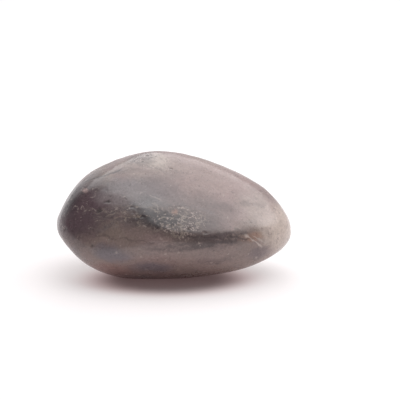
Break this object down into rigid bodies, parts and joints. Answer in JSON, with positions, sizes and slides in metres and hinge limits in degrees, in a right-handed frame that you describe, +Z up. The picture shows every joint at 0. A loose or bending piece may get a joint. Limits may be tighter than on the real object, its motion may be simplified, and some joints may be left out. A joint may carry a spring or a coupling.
{
  "type": "tumbled stone",
  "caption": "Polished tumbled stone: a lopsided egg of dark mauve-grey rock with a blunt end, a narrow end and a broad sloping face, lying on a small flat spot.",
  "frame": {"origin": "on the surface that the stone rests on, under the middle of its bounding box", "axes": "+X along the stone to its narrow end, +Z up, -Y towards its broad sloping face"},
  "size_m": [0.0324, 0.022, 0.0168],
  "materials": {
    "stone": "satin"
  },
  "bodies": {
    "root": {"tumbled_stone": "stone"}
  },
  "joints": []
}
